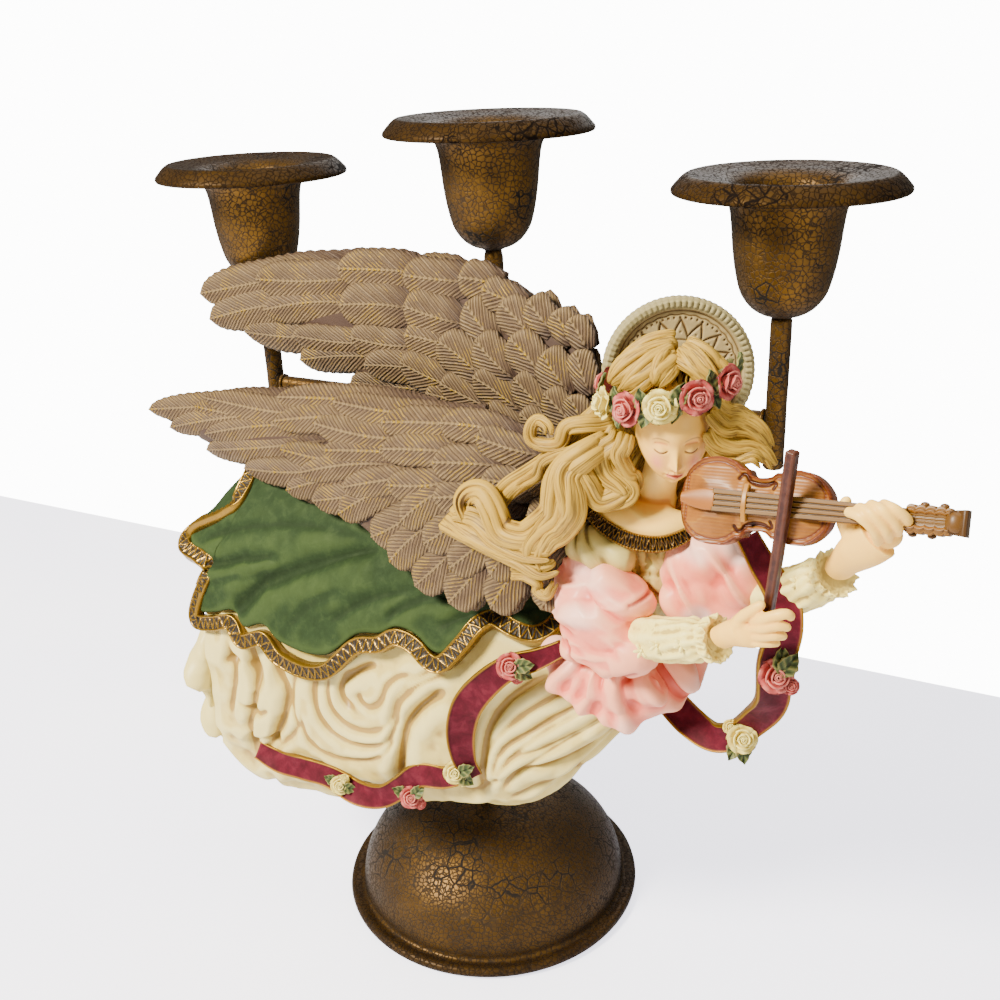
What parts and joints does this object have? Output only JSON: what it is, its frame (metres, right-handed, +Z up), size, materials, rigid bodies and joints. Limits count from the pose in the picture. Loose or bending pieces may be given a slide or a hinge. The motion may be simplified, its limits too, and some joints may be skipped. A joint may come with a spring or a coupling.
{
  "type": "candelabra",
  "caption": "Domed metal stand with bell candle cups on thin arms, carrying a painted reclining angel in a draped cape who plays a violin.",
  "frame": {"origin": "on the surface it stands on, under the middle of the round foot", "axes": "+Z up, +X to the right of someone facing the figure, -Y towards them; the arms lie along X"},
  "size_m": [0.2451, 0.1123, 0.2395],
  "materials": {
    "bronze": "antique bronze paint with fine crackle, satin",
    "steel": "plain zinc plated",
    "felt": "dark felt",
    "cream_paint": "hand painted cream on cast resin, satin, darker wash in the folds",
    "green_paint": "mottled sage green on cast resin, satin",
    "gold_paint": "gold paint over a dark wash on cast resin",
    "pink_paint": "pale pink on cast resin, satin",
    "skin_paint": "skin tone with a light blush on cast resin",
    "blond_paint": "blond with a brown wash on cast resin",
    "ivory_paint": "ivory with gold ornament on cast resin",
    "taupe_paint": "taupe with gold dry brushing on cast resin",
    "burgundy_paint": "burgundy with gold edges on cast resin",
    "rose_paint": "rose pink on cast resin",
    "yellow_paint": "pale yellow on cast resin",
    "leaf_paint": "leaf green on cast resin",
    "violin_paint": "orange brown with darker edges on cast resin",
    "bow_paint": "reddish brown on cast resin"
  },
  "bodies": {
    "root": {"foot_dome": "bronze", "felt_pad": "felt", "foot_washer": "steel", "foot_nut": "steel", "centre_post": "bronze", "left_stem": "bronze", "right_stem": "bronze", "left_arm": "bronze", "right_arm": "bronze", "left_cup": "bronze", "centre_cup": "bronze", "right_cup": "bronze", "left_cup_screw": "steel", "centre_cup_screw": "steel", "right_cup_screw": "steel", "lower_figure_screw": "steel", "upper_figure_screw": "steel", "skirt": "cream_paint", "cape": "green_paint", "head": "skin_paint", "bodice": "cream_paint", "violin": "violin_paint", "bow": "bow_paint", "near_wing": "taupe_paint", "far_wing": "taupe_paint", "halo": "ivory_paint", "near_sleeve": "pink_paint", "far_sleeve": "pink_paint", "peplum": "pink_paint", "near_cuff": "cream_paint", "far_cuff": "cream_paint", "near_hand": "skin_paint", "far_hand": "skin_paint", "neckline_band": "gold_paint", "hair": "blond_paint", "wreath_rose_1": "rose_paint", "wreath_rose_2": "yellow_paint", "wreath_rose_3": "rose_paint", "wreath_rose_4": "yellow_paint", "wreath_rose_5": "rose_paint", "wreath_rose_6": "rose_paint", "wreath": "leaf_paint", "cape_trim": "gold_paint", "petticoat_ruffle": "cream_paint", "loop_ribbon": "burgundy_paint", "drape_ribbon": "burgundy_paint", "hem_ribbon": "burgundy_paint", "loop_rose": "rose_paint", "loop_foot_rose": "yellow_paint", "waist_rose": "rose_paint", "drape_rose": "yellow_paint", "hem_rose": "rose_paint", "hem_end_rose": "yellow_paint"}
  },
  "joints": []
}
